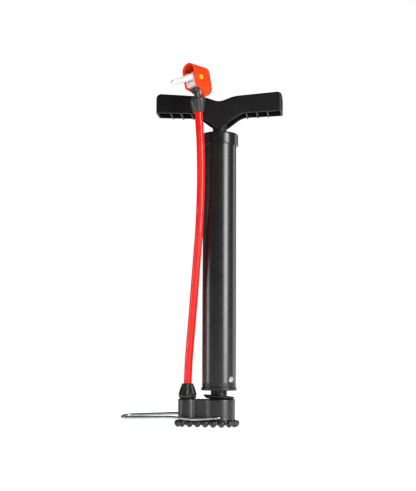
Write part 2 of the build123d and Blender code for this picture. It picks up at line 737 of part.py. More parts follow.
def head_outline(inset):
    """The lines of the head's section in (v, w): an arch on straight sides that draw in below."""
    half = HEAD_HALF_WIDTH - inset
    low = HEAD_BOTTOM + inset
    ThreePointArc((HEAD_ARCH_V, -half), (HEAD_ARCH_V + half, 0), (HEAD_ARCH_V, half))
    Polyline(
        (HEAD_ARCH_V, half),
        (HEAD_TAPER_V, half),
        (low, half - HEAD_TAPER),
        (low, HEAD_TAPER - half),
        (HEAD_TAPER_V, -half),
        (HEAD_ARCH_V, -half),
    )


def round_low_corners(sketch, radius):
    """Rounds the two lower corners of a head section."""
    fillet(sketch.vertices().group_by(Axis.X)[0], radius=radius)


def heel_corner(inset):
    """The corner outside the head's round heel, in (u, v), to be cut away."""
    centre_u = HEAD_BACK - HEAD_HEEL_R
    centre_v = HEAD_BOTTOM + HEAD_HEEL_R
    radius = HEAD_HEEL_R - inset
    with Locations((centre_u + HEAD_HEEL_R / 2 + 2, centre_v - HEAD_HEEL_R / 2 - 2)):
        Rectangle(HEAD_HEEL_R + 4, HEAD_HEEL_R + 4)
    with Locations((centre_u, centre_v)):
        Circle(radius, mode=Mode.SUBTRACT)


with BuildPart() as head_cavity:
    with BuildSketch(head_section(HEAD_FRONT - 1)) as inside:
        with BuildLine():
            head_outline(HEAD_WALL)
        make_face()
        round_low_corners(inside, 2.4)
    extrude(amount=NOSE_INSIDE - 3 - HEAD_FRONT + 1)
    with BuildSketch(head_section(NOSE_INSIDE - 3)) as inside_nose:
        with BuildLine():
            head_outline(HEAD_WALL)
        make_face()
        round_low_corners(inside_nose, 2.4)
    extrude(amount=3, taper=20)
    with BuildSketch(head_side(-HEAD_HALF_WIDTH - 1)):
        heel_corner(HEAD_WALL)
    extrude(amount=2 * HEAD_HALF_WIDTH + 2, mode=Mode.SUBTRACT)

with BuildPart() as head_housing:
    with BuildSketch(head_section(HEAD_FRONT)) as outside:
        with BuildLine():
            head_outline(0)
        make_face()
        round_low_corners(outside, 4.0)
    extrude(amount=HEAD_BACK - HEAD_FRONT)
    with BuildSketch(head_side(-HEAD_HALF_WIDTH - 1)):
        heel_corner(0)
    extrude(amount=2 * HEAD_HALF_WIDTH + 2, mode=Mode.SUBTRACT)
    nose_axis = Axis(HEAD_PIN, HEAD_U)
    fillet(head_housing.faces().sort_by(nose_axis)[-1].edges(), radius=3.6)
    add(head_cavity.part, mode=Mode.SUBTRACT)
    # the corner that is cut away for the stem
    with BuildSketch(head_side(-HEAD_HALF_WIDTH - 1)):
        with BuildLine():
            Polyline(
                (HEAD_FRONT - 1, -11.2),
                (HEAD_FRONT + 3.4, -12.2),
                (-1.5, -13.6),
                (3.9, -17.4),
                (5.9, HEAD_BOTTOM - 1),
                (HEAD_FRONT - 1, HEAD_BOTTOM - 1),
                close=True,
            )
        make_face()
    extrude(amount=2 * HEAD_HALF_WIDTH + 2, mode=Mode.SUBTRACT)
    # the pin's holes, and the moulded arc beside the near one
    with BuildSketch(head_side(-HEAD_HALF_WIDTH - 1)):
        Circle(PIN_R)
    extrude(amount=2 * HEAD_HALF_WIDTH + 2, mode=Mode.SUBTRACT)
    with BuildSketch(head_side(HEAD_HALF_WIDTH - 0.3)):
        Circle(5.0)
        Circle(4.2, mode=Mode.SUBTRACT)
        with Locations((4.2, 0)):
            Rectangle(10, 12, mode=Mode.SUBTRACT)
    extrude(amount=0.8)
    # the two valve ports
    for height, radius in ((SCHRADER_V, SCHRADER_R), (PRESTA_V, PRESTA_R)):
        with BuildSketch(head_section(NOSE_INSIDE - 1)):
            with Locations((height, 0)):
                Circle(radius + 0.5)
        extrude(amount=4, mode=Mode.SUBTRACT)
head_housing.part.label = "head_housing"
export_step(head_housing.part, "parts/head_housing.step")

with BuildPart() as head_body:
    with BuildSketch(head_section(HEAD_FRONT - 0.8)):
        with Locations((-7.9, 0)):
            RectangleRounded(4.2, 2 * (HEAD_HALF_WIDTH - HEAD_WALL) - 1.0, 0.8)
    extrude(amount=14)
    with BuildSketch(head_section(BODY_BACK_START)):
        with BuildLine():
            head_outline(HEAD_WALL + 0.2)
        make_face()
        with Locations((-10.6, 0)):
            Rectangle(9.4, 2 * HEAD_HALF_WIDTH, mode=Mode.INTERSECT)
    extrude(amount=6.4 - BODY_BACK_START)
    # the yoke's cheeks
    for side in (-1, 1):
        with BuildSketch(head_section(HEAD_FRONT - 0.8)):
            with Locations((-10.4, side * 4.6)):
                RectangleRounded(2.2, 3.6, 0.7)
        extrude(amount=1.6)
head_body.part.label = "head_body"
export_step(head_body.part, "parts/head_body.step")

with BuildPart() as cam_plate:
    with BuildSketch(head_section(PLATE_FRONT)):
        with BuildLine():
            head_outline(HEAD_WALL + 0.4)
        make_face()
        with Locations((-4.8, 0)):
            Rectangle(22.4, 2 * HEAD_HALF_WIDTH, mode=Mode.INTERSECT)
    extrude(amount=PLATE_BACK - PLATE_FRONT)
    with BuildSketch(head_section(CAM_R + CAM_OFFSET * cos(radians(CAM_ANGLE)) + 0.15)):
        with Locations((1.0, 0)):
            Rectangle(5.0, 8.0)
    extrude(amount=PLATE_FRONT - CAM_R - CAM_OFFSET * cos(radians(CAM_ANGLE)) - 0.15)
    for height, radius in ((SCHRADER_V, SCHRADER_R), (PRESTA_V, PRESTA_R)):
        with BuildSketch(head_section(PLATE_FRONT + 0.4)):
            with Locations((height, 0)):
                Circle(radius - 1.6)
        extrude(amount=2, mode=Mode.SUBTRACT)
cam_plate.part.label = "cam_plate"
export_step(cam_plate.part, "parts/cam_plate.step")

with BuildPart() as schrader_seal:
    with BuildSketch(head_section(SEAL_START)):
        with Locations((SCHRADER_V, 0)):
            Circle(5.0)
            Circle(SCHRADER_R, mode=Mode.SUBTRACT)
    extrude(amount=5.4)
schrader_seal.part.label = "schrader_seal"
export_step(schrader_seal.part, "parts/schrader_seal.step")

with BuildPart() as presta_seal:
    with BuildSketch(head_section(SEAL_START)):
        with Locations((PRESTA_V, 0)):
            Circle(5.0)
            Circle(PRESTA_R, mode=Mode.SUBTRACT)
    extrude(amount=5.4)
presta_seal.part.label = "presta_seal"
export_step(presta_seal.part, "parts/presta_seal.step")

with BuildPart() as lever_pin:
    with BuildSketch(head_side(-HEAD_HALF_WIDTH - 0.1)):
        Circle(PIN_R)
    extrude(amount=2 * HEAD_HALF_WIDTH + 0.2)
    for side in (-1, 1):
        with BuildSketch(head_side(side * (HEAD_HALF_WIDTH + 0.05))):
            Circle(3.0)
        extrude(amount=side * 0.9, taper=25)
lever_pin.part.label = "lever_pin"
export_step(lever_pin.part, "parts/lever_pin.step")

LEVER_OUTLINE = [
    (1.0, 5.6),
    (-8.0, 5.0),
    (-15.0, 1.8),
    (-24.0, -3.0),
    (-34.0, -7.4),
    (-40.6, -9.6),
    (-42.6, -11.6),
    (-41.4, -13.8),
    (-38.0, -14.0),
    (-28.0, -10.9),
    (-18.0, -7.0),
    (-9.0, -3.4),
    (-2.5, -1.6),
]
with BuildPart() as lock_lever:
    with BuildSketch(head_side(-5.0)):
        with BuildLine():
            Polyline(*LEVER_OUTLINE, close=True)
        make_face()
        with Locations(polar(CAM_OFFSET, CAM_ANGLE)):
            Circle(CAM_R)
    extrude(amount=10.0)
    # the arm narrows to its tip
    with BuildSketch(Plane(origin=head_point(0, -20, 0), x_dir=HEAD_U, z_dir=HEAD_V)):
        with BuildLine():
            for side in (-1, 1):
                Polyline(
                    (6, 0),
                    (6, side * 5),
                    (-12, side * 5),
                    (-36, side * 3.4),
                    (-43.6, side * 2.2),
                    (-43.6, 0),
                )
        make_face()
    extrude(amount=40, mode=Mode.INTERSECT)
    with BuildSketch(head_side(-6)):
        Circle(PIN_R + FIT)
    extrude(amount=12, mode=Mode.SUBTRACT)
lock_lever.part.label = "lock_lever"
export_step(lock_lever.part, "parts/lock_lever.step")

# ---------------------------------------------------------------- handle
def handle_top(drop):
    """The dip and the two straight grips of the handle's top, lowered by drop."""
    shoulder_x, shoulder_z = HANDLE_SHOULDER
    slope = Vector(HANDLE_HALF - shoulder_x, HANDLE_END_TOP - shoulder_z).normalized()
    Spline(
        (-shoulder_x, shoulder_z - drop),
        (-13.0, 373.1 - drop),
        (0, HANDLE_DIP_Z - drop),
        (13.0, 373.1 - drop),
        (shoulder_x, shoulder_z - drop),
        tangents=[(slope.X, -slope.Y), (slope.X, slope.Y)],
    )


with BuildPart() as handle_grip:
    with BuildSketch(Plane.XZ) as handle_face:
        with BuildLine():
            handle_top(0)
            Polyline(
                HANDLE_SHOULDER,
                (HANDLE_HALF, HANDLE_END_TOP),
                (HANDLE_HALF, HANDLE_END_BOTTOM),
                HANDLE_KNEE,
                (0, HANDLE_TIP_Z),
                (-HANDLE_KNEE[0], HANDLE_KNEE[1]),
                (-HANDLE_HALF, HANDLE_END_BOTTOM),
                (-HANDLE_HALF, HANDLE_END_TOP),
                (-HANDLE_SHOULDER[0], HANDLE_SHOULDER[1]),
            )
        make_face()
        ends = handle_face.vertices().filter_by(lambda v: abs(v.X) > HANDLE_HALF - 1)
        fillet(ends.filter_by(lambda v: v.Y > 370), radius=5.5)
        knees = handle_face.vertices().filter_by(lambda v: abs(abs(v.X) - HANDLE_KNEE[0]) < 0.1)
        fillet(knees, radius=21)
        fillet(handle_face.vertices().sort_by(Axis.Y)[0], radius=1.5)
    extrude(amount=HANDLE_DEPTH / 2, both=True)
    rims = handle_grip.edges().filter_by(
        lambda edge: abs(abs(edge.center().Y) - HANDLE_DEPTH / 2) < 0.01
        and (edge.center().Z > 366 or abs(edge.center().X) > HANDLE_HALF - 2)
    )
    fillet(rims, radius=3.4)
    # hollow from below
    with BuildSketch(Plane.XZ):
        with BuildLine():
            handle_top(HANDLE_WALL + 0.2)
            Polyline(
                (HANDLE_SHOULDER[0], HANDLE_SHOULDER[1] - HANDLE_WALL - 0.2),
                (HANDLE_HALF - HANDLE_WALL, HANDLE_END_TOP - HANDLE_WALL - 0.4),
                (HANDLE_HALF - HANDLE_WALL, 320),
                (-HANDLE_HALF + HANDLE_WALL, 320),
                (-HANDLE_HALF + HANDLE_WALL, HANDLE_END_TOP - HANDLE_WALL - 0.4),
                (-HANDLE_SHOULDER[0], HANDLE_SHOULDER[1] - HANDLE_WALL - 0.2),
            )
        make_face()
    extrude(amount=HANDLE_DEPTH / 2 - HANDLE_WALL, both=True, mode=Mode.SUBTRACT)
    # a bead along the lower rim of each grip, outside the wall
    for side in (-1, 1):
        with BuildSketch(Plane.XZ.offset(side * (HANDLE_DEPTH / 2 - 0.3))):
            with BuildLine():
                Polyline(
                    (-HANDLE_HALF + 4, HANDLE_END_BOTTOM),
                    (-HANDLE_KNEE[0] - 6, HANDLE_KNEE[1] + 0.4),
                    (-HANDLE_KNEE[0] - 6, HANDLE_KNEE[1] + 1.7),
                    (-HANDLE_HALF + 4, HANDLE_END_BOTTOM + 1.3),
                    close=True,
                )
            make_face()
            mirror(about=Plane.YZ)
        extrude(amount=side * 0.7)
    # ribs across each grip, and the hub for the rod
    for place in HANDLE_RIBS:
        for side in (-1, 1):
            with BuildSketch(Plane.YZ.offset(side * place)):
                rib_top = HANDLE_SHOULDER[1] - 1
                rib_low = HANDLE_END_BOTTOM - (HANDLE_HALF - place) * 0.055 - 0.4
                with BuildLine():
                    Polyline(
                        (-HANDLE_DEPTH / 2 + 1.2, rib_low + 0.6),
                        (HANDLE_DEPTH / 2 - 1.2, rib_low - 0.4),
                        (HANDLE_DEPTH / 2 - 1.2, rib_top),
                        (-HANDLE_DEPTH / 2 + 1.2, rib_top),
                        close=True,
                    )
                make_face()
            extrude(amount=0.8, both=True)
    with BuildSketch(Plane.XY.offset(HUB_BOTTOM)):
        Circle(HUB_R)
    extrude(amount=HANDLE_DIP_Z - 1.4 - HUB_BOTTOM)
    # webs from the hub into the grips
    for side in (-1, 1):
        with BuildSketch(Plane.XZ):
            with BuildLine():
                Polyline(
                    (side * 5, 345),
                    (side * 30, 359),
                    (side * 30, 372),
                    (side * 5, 367),
                    close=True,
                )
            make_face()
        extrude(amount=0.9, both=True)
    with BuildSketch(Plane.XY.offset(HUB_BOTTOM)):
        Circle(ROD_R + 0.01)
    extrude(amount=ROD_TOP - HUB_BOTTOM + 0.5, mode=Mode.SUBTRACT)
    with BuildSketch(Plane.XZ):
        with Locations((0, PIN_Z)):
            Circle(ROLL_PIN_R)
    extrude(amount=HUB_R + 1, both=True, mode=Mode.SUBTRACT)
handle_grip.part.label = "handle_grip"
export_step(handle_grip.part, "parts/handle_grip.step")

with BuildPart() as handle_pin:
    with BuildSketch(Plane.XZ):
        with Locations((0, PIN_Z)):
            Circle(ROLL_PIN_R - 0.01)
            Circle(0.8, mode=Mode.SUBTRACT)
    extrude(amount=HUB_R - 0.2, both=True)
handle_pin.part.label = "handle_pin"
export_step(handle_pin.part, "parts/handle_pin.step")

# ---------------------------------------------------------------- rod and piston
with BuildPart() as piston_rod:
    with BuildSketch(Plane.XY.offset(ROD_SHOULDER)):
        Circle(ROD_R)
    extrude(amount=ROD_TOP - ROD_SHOULDER)
    with BuildSketch(Plane.XY.offset(PISTON_LOW)):
        Circle(ROD_THREAD_R)
    extrude(amount=ROD_SHOULDER - PISTON_LOW)
    chamfer(piston_rod.edges().group_by(Axis.Z)[0], length=0.6)
    with BuildSketch(Plane.XZ):
        with Locations((0, PIN_Z)):
            Circle(ROLL_PIN_R)
    extrude(amount=ROD_R + 1, both=True, mode=Mode.SUBTRACT)
piston_rod.part.label = "piston_rod"
export_step(piston_rod.part, "parts/piston_rod.step")

with BuildPart() as piston_nut:
    with BuildSketch(Plane.XY.offset(NUT_LOW)):
        RegularPolygon(5.2, 6)
        Circle(ROD_THREAD_R + 0.02, mode=Mode.SUBTRACT)
    extrude(amount=NUT_HEIGHT)
piston_nut.part.label = "piston_nut"
export_step(piston_nut.part, "parts/piston_nut.step")

with BuildPart() as piston_washer:
    with BuildSketch(Plane.XY.offset(NUT_LOW + NUT_HEIGHT)):
        Circle(12.0)
        Circle(ROD_THREAD_R + 0.1, mode=Mode.SUBTRACT)
    extrude(amount=WASHER_HEIGHT)
piston_washer.part.label = "piston_washer"
export_step(piston_washer.part, "parts/piston_washer.step")

with BuildPart() as piston_cup:
    with BuildSketch(Plane.XZ):
        with BuildLine():
            Polyline(
                (ROD_THREAD_R + 0.1, CUP_TOP),
                (ROD_THREAD_R + 0.1, CUP_TOP - CUP_WALL),
                (12.3, CUP_TOP - CUP_WALL),
                (14.6, CUP_TOP - CUP_WALL - 1.2),
                (15.4, CUP_TOP - CUP_DEPTH),
                (BORE_R - 0.1, CUP_TOP - CUP_DEPTH),
                (BORE_R - 0.1, CUP_TOP - 2.0),
                (BORE_R - 2.0, CUP_TOP),
                close=True,
            )
        make_face()
    revolve(axis=Axis.Z)
piston_cup.part.label = "piston_cup"
export_step(piston_cup.part, "parts/piston_cup.step")

with BuildPart() as piston_body:
    with BuildSketch(Plane.XY.offset(CUP_TOP)):
        Circle(BORE_R - 0.35)
        Circle(ROD_THREAD_R + 0.05, mode=Mode.SUBTRACT)
    extrude(amount=4)
    with BuildSketch(Plane.XY.offset(CUP_TOP + 4)):
        Circle(9.0)
        Circle(ROD_THREAD_R + 0.05, mode=Mode.SUBTRACT)
    extrude(amount=ROD_SHOULDER - CUP_TOP - 4)
    with BuildSketch(Plane.XY.offset(CUP_TOP)):
        with PolarLocations(13.2, 6):
            Circle(1.6)
    extrude(amount=4, mode=Mode.SUBTRACT)
piston_body.part.label = "piston_body"
export_step(piston_body.part, "parts/piston_body.step")

with BuildPart() as rod_bumper:
    with BuildSketch(Plane.XY.offset(ROD_SHOULDER)):
        Circle(9.0)
        Circle(ROD_R + FIT, mode=Mode.SUBTRACT)
    extrude(amount=BUMPER_HEIGHT)
    rounded = rod_bumper.edges().filter_by(GeomType.CIRCLE).filter_by(lambda edge: edge.radius > 8.5)
    fillet(rounded, radius=1.0)
rod_bumper.part.label = "rod_bumper"
export_step(rod_bumper.part, "parts/rod_bumper.step")

print("stroke left above the bumper", BARREL_TOP - BUSH_HEIGHT - ROD_SHOULDER - BUMPER_HEIGHT)
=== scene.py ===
import json
import math

import bmesh
import bpy
from mathutils import Matrix, Vector


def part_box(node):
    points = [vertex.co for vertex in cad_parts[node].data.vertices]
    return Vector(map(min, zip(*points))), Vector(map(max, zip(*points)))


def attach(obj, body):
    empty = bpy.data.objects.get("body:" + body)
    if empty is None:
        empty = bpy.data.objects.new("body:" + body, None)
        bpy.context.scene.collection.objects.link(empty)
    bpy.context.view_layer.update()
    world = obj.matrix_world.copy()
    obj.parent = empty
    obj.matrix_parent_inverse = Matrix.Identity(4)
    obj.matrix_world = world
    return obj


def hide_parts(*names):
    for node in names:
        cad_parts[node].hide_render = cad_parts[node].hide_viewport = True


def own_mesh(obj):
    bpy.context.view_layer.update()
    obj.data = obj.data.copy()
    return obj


# Looks for the foot air pump: a black barrel with a T handle on a small toothed base, a wire foot
# stirrup, a red hose and an orange valve head with a white lock lever. The frame is the packed
# model's own: +Z up the barrel, +X along the handle away from the hose, -Y to the front. Blender
# counts in metres; the outlines and routes below are written in mm and scaled by MM.

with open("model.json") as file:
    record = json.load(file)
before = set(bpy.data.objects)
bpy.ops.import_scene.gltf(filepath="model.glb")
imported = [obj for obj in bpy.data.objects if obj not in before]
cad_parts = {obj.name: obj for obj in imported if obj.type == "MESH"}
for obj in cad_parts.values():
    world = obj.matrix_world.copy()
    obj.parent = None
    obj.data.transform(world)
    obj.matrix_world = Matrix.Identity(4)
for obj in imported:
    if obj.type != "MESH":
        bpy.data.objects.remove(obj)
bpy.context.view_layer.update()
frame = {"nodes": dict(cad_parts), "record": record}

MM = 0.001


# ---------------------------------------------------------------- camera
CAMERA_PLACE = (0.1150, -1.2397, 0.0678)  # metres
CAMERA_AZIMUTH = 5.3  # degrees from the front (-Y) towards the right (+X)
CAMERA_LEFT = 0.594  # degrees that it looks to the left of the barrel's axis
CAMERA_UP = 6.25  # degrees that it looks up
CAMERA_ROLL = 0.24  # degrees
CAMERA_LENS = 80.65  # mm, on a sensor 36 mm wide


def make_camera():
    """A low camera in front, a little to the right, looking slightly up at the pump."""
    data = bpy.data.cameras.new("camera")
    data.sensor_width = 36.0
    data.lens = CAMERA_LENS
    data.dof.use_dof = False
    camera = bpy.data.objects.new("camera", data)
    bpy.context.scene.collection.objects.link(camera)
    turn = Matrix.Rotation(math.radians(CAMERA_AZIMUTH + CAMERA_LEFT), 4, "Z")
    pitch = Matrix.Rotation(math.radians(90 + CAMERA_UP), 4, "X")
    tilt = Matrix.Rotation(math.radians(CAMERA_ROLL), 4, "Z")
    camera.matrix_world = Matrix.Translation(CAMERA_PLACE) @ turn @ pitch @ tilt
    bpy.context.scene.camera = camera


make_camera()


# ---------------------------------------------------------------- materials
# The sockets of a Mix node that mixes two colours.
MIX_FACTOR, MIX_FIRST, MIX_SECOND, MIX_RESULT = 0, 6, 7, 2


class Finish:
    """A Principled material in object space, to which layers of detail are added one by one."""

    def __init__(self, name):
        self.material = bpy.data.materials.new(name)
        self.material.use_nodes = True
        self.tree = self.material.node_tree
        self.shader = self.tree.nodes["Principled BSDF"]
        self.place = self.add("ShaderNodeTexCoord").outputs["Object"]

    def add(self, kind):
        return self.tree.nodes.new(kind)

    def link(self, start, end):
        self.tree.links.new(start, end)

    def feed(self, value, socket):
        """Links another node's output to a socket, or sets a plain value on it."""
        if isinstance(value, bpy.types.NodeSocket):
            self.link(value, socket)
        else:
            socket.default_value = value

    def constant(self, **values):
        """Sets numbers and colours on the shader's own sockets."""
        for name, value in values.items():
            self.shader.inputs[name.replace("_", " ")].default_value = value

    def stretched(self, scale):
        """The object's coordinates, scaled per axis."""
        mapping = self.add("ShaderNodeMapping")
        mapping.inputs["Scale"].default_value = scale
        self.link(self.place, mapping.inputs["Vector"])
        return mapping.outputs["Vector"]

    def noise(self, size_mm, detail=3.0, rough=0.5, stretch=(1, 1, 1)):
        """A noise from 0 to 1, whose features are about size_mm across."""
        noise = self.add("ShaderNodeTexNoise")
        noise.inputs["Scale"].default_value = 1000.0 / size_mm
        noise.inputs["Detail"].default_value = detail
        noise.inputs["Roughness"].default_value = rough
        self.link(self.stretched(stretch), noise.inputs["Vector"])
        return noise.outputs["Fac"]

    def tones(self, factor, dark, light, start=0.3, end=0.7):
        """A colour that goes from dark to light while the factor goes from start to end."""
        ramp = self.add("ShaderNodeValToRGB")
        stops = ((start, dark), (end, light))
        for element, (position, colour) in zip(ramp.color_ramp.elements, stops):
            element.position = position
            element.color = (*colour, 1.0)
        self.link(factor, ramp.inputs["Fac"])
        return ramp.outputs["Color"]

    def spread(self, factor, low, high, start=0.3, end=0.7):
        """The factor, mapped from start..end to low..high."""
        mapped = self.add("ShaderNodeMapRange")
        mapped.inputs["From Min"].default_value = start
        mapped.inputs["From Max"].default_value = end
        mapped.inputs["To Min"].default_value = low
        mapped.inputs["To Max"].default_value = high
        self.link(factor, mapped.inputs["Value"])
        return mapped.outputs["Result"]

    def mix(self, factor, first, second):
        """Two colours mixed by a factor."""
        mix = self.add("ShaderNodeMix")
        mix.data_type = "RGBA"
        self.feed(factor, mix.inputs[MIX_FACTOR])
        self.feed(first, mix.inputs[MIX_FIRST])
        self.feed(second, mix.inputs[MIX_SECOND])
        return mix.outputs[MIX_RESULT]

    def product(self, first, second):
        """Two factors multiplied; each is a node's output or a number."""
        product = self.add("ShaderNodeMath")
        product.operation = "MULTIPLY"
        self.feed(first, product.inputs[0])
        self.feed(second, product.inputs[1])
        return product.outputs[0]

    def colour(self, socket):
        self.link(socket, self.shader.inputs["Base Color"])

    def roughness(self, socket):
        self.link(socket, self.shader.inputs["Roughness"])

    def bump(self, *layers):
        """Bumps one on the other: each layer is (height, strength, distance in mm)."""
        normal = None
        for height, strength, distance in layers:
            bump = self.add("ShaderNodeBump")
            bump.inputs["Strength"].default_value = strength
            bump.inputs["Distance"].default_value = distance * MM
            self.link(height, bump.inputs["Height"])
            if normal is not None:
                self.link(normal, bump.inputs["Normal"])
            normal = bump.outputs["Normal"]
        self.link(normal, self.shader.inputs["Normal"])


def painted_edge_highlight(finish, amount):
    """A painted highlight on sharp edges: from 0 on flat faces to the amount on the sharpest edges,
    broken up by noise.
    """
    geometry = finish.add("ShaderNodeNewGeometry")
    edge = finish.spread(geometry.outputs["Pointiness"], 0.0, 1.0, 0.52, 0.60)
    broken = finish.spread(finish.noise(2.2, 4), 0.0, 1.0, 0.35, 0.75)
    return finish.product(finish.product(edge, broken), amount)


def barrel_paint():
    """Black powder coat: deep, glossy, with a fine orange peel and a few dust specks."""
    finish = Finish("barrel_paint")
    base = finish.tones(finish.noise(9, 4), (0.0035, 0.0035, 0.004), (0.0065, 0.006, 0.0065))
    specks = finish.spread(finish.noise(0.7, 1), 0.0, 1.0, 0.76, 0.82)
    finish.colour(finish.mix(specks, base, (0.035, 0.034, 0.034, 1.0)))
    finish.roughness(finish.spread(finish.noise(14, 5), 0.25, 0.31))
    finish.bump((finish.noise(1.6, 2), 0.10, 0.04), (finish.noise(0.35, 2), 0.05, 0.02))
    finish.constant(Coat_Weight=0.15, Coat_Roughness=0.22, IOR=1.5)
    return finish.material


def gloss_moulding():
    """Gloss black moulded plastic of the cap, with faint turning marks round it."""
    finish = Finish("cap_gloss")
    finish.colour(finish.tones(finish.noise(6, 3), (0.004, 0.004, 0.004), (0.008, 0.0075, 0.0075)))
    finish.roughness(finish.spread(finish.noise(5, 4), 0.20, 0.30))
    rings = finish.noise(1.2, 2, stretch=(0.02, 0.02, 1))
    finish.bump((rings, 0.05, 0.05), (finish.noise(0.9, 2), 0.06, 0.03))
    finish.constant(IOR=1.5)
    return finish.material


def satin_plastic(name, dark, light, low, high, strength=0.28, gloss=0.4):
    """Satin moulded plastic: fine spark-eroded grain, cloudy sheen and a painted highlight on its
    sharp edges.
    """
    finish = Finish(name)
    cloud = finish.tones(finish.noise(11, 4), dark, light)
    # painted highlight: the sharp edges are lightened towards a paler colour
    painted_highlight_colour = tuple(channel * 3.0 + 0.012 for channel in light)
    finish.colour(finish.mix(painted_edge_highlight(finish, 0.35), cloud, (*painted_highlight_colour, 1.0)))
    finish.roughness(finish.spread(finish.noise(7, 5), low, high))
    flow = finish.noise(16, 3, stretch=(1, 1, 0.25))
    finish.bump((finish.noise(0.35, 2, 0.6), strength, 0.03), (flow, 0.12, 0.25))
    finish.constant(IOR=1.48, Specular_IOR_Level=gloss)
    return finish.material


def hose_vinyl():
    """Glossy red PVC: a little light passes through, with long faint extrusion lines."""
    finish = Finish("hose_red")
    streaks = finish.noise(18, 3, stretch=(1, 1, 0.15))
    finish.colour(finish.tones(streaks, (0.68, 0.003, 0.0008), (0.76, 0.005, 0.0014)))
    finish.roughness(finish.spread(finish.noise(8, 4), 0.22, 0.34))
    lines = finish.noise(1.1, 2, stretch=(1, 1, 0.02))
    finish.bump((lines, 0.06, 0.05), (finish.noise(3.5, 2), 0.05, 0.05))
    finish.constant(
        Subsurface_Weight=0.05,
        Subsurface_Radius=(1.0, 0.05, 0.02),
        Subsurface_Scale=0.002,
        Coat_Weight=0.55,
        Coat_Roughness=0.05,
        Specular_IOR_Level=0.08,
        IOR=1.5,
    )
    return finish.material


def head_plastic():
    """Orange-red moulded shell: satin, with flow clouds and a paler painted highlight on its sharp
    edges.
    """
    finish = Finish("head_orange")
    cloud = finish.tones(finish.noise(9, 3), (0.76, 0.030, 0.0015), (0.84, 0.042, 0.003))
    # painted highlight: the sharp edges are lightened towards a paler orange
    finish.colour(finish.mix(painted_edge_highlight(finish, 0.5), cloud, (0.97, 0.13, 0.03, 1.0)))
    finish.roughness(finish.spread(finish.noise(6, 4), 0.30, 0.42))
    finish.bump((finish.noise(0.4, 2, 0.6), 0.16, 0.02), (finish.noise(7, 2), 0.08, 0.15))
    finish.constant(
        Subsurface_Weight=0.10,
        Subsurface_Radius=(1.0, 0.2, 0.08),
        Subsurface_Scale=0.0015,
        Specular_IOR_Level=0.3,
        IOR=1.48,
    )
    return finish.material


def milky_plastic(name, dark, light):
    """Natural, milky plastic that lets light into its surface, with a faint painted glow from
    emission.
    """
    finish = Finish(name)
    finish.colour(finish.tones(finish.noise(7, 4), dark, light))
    finish.roughness(finish.spread(finish.noise(5, 4), 0.22, 0.36))
    finish.bump((finish.noise(0.5, 2), 0.10, 0.02), (finish.noise(4, 2), 0.06, 0.10))
    finish.constant(
        Subsurface_Weight=0.45,
        Subsurface_Radius=(1.0, 0.85, 0.75),
        Subsurface_Scale=0.003,
        # painted glow: a faint emission, though the plastic is no lamp
        Emission_Color=(1.0, 0.88, 0.85, 1.0),
        Emission_Strength=0.20,
        IOR=1.5,
    )
    return finish.material


def pin_plastic():
    """Yellow moulded pin: bright, with slightly darker clouds and a fine grain."""
    finish = Finish("pin_yellow")
    finish.colour(finish.tones(finish.noise(2.5, 3), (0.78, 0.32, 0.006), (0.88, 0.42, 0.012)))
    finish.roughness(finish.spread(finish.noise(2, 3), 0.22, 0.34))
    finish.bump((finish.noise(0.5, 2), 0.10, 0.02))
    finish.constant(Subsurface_Weight=0.1, Subsurface_Scale=0.001, IOR=1.48)
    return finish.material


def plated_metal(name, dark, light, low, high, drawn=(1, 1, 1), strength=0.12):
    """Metal with fine drawing or turning lines, cloudy plating and duller patches."""
    finish = Finish(name)
    cloud = finish.tones(finish.noise(5, 5), dark, light, start=0.25, end=0.75)
    dull = finish.spread(finish.noise(1.8, 4), 0.0, 0.45, 0.55, 0.75)
    tarnished = tuple(channel * 0.62 for channel in dark)
    finish.colour(finish.mix(dull, cloud, (*tarnished, 1.0)))
    finish.roughness(finish.spread(finish.noise(3, 5), low, high))
    lines = finish.noise(0.3, 3, 0.6, stretch=drawn)
    finish.bump((lines, strength, 0.02), (finish.noise(4, 2), 0.08, 0.08))
    finish.constant(Metallic=1.0)
    return finish.material


def rubber(name, dark, light):
    """Soft black rubber: dull, with a mould bloom."""
    finish = Finish(name)
    finish.colour(finish.tones(finish.noise(3, 4), dark, light))
    finish.roughness(finish.spread(finish.noise(2, 4), 0.55, 0.75))
    finish.bump((finish.noise(0.6, 3), 0.25, 0.03))
    finish.constant(IOR=1.45)
    return finish.material


def felt():
    """Grey felt: matted fibres, fully rough."""
    finish = Finish("felt")
    fibres = finish.noise(0.25, 6, 0.7, stretch=(1, 0.4, 1))
    finish.colour(finish.tones(fibres, (0.16, 0.15, 0.14), (0.34, 0.32, 0.30)))
    finish.roughness(finish.spread(fibres, 0.85, 1.0))
    finish.bump((fibres, 0.6, 0.1))
    finish.constant(Sheen_Weight=0.3, Sheen_Roughness=0.6)
    return finish.material


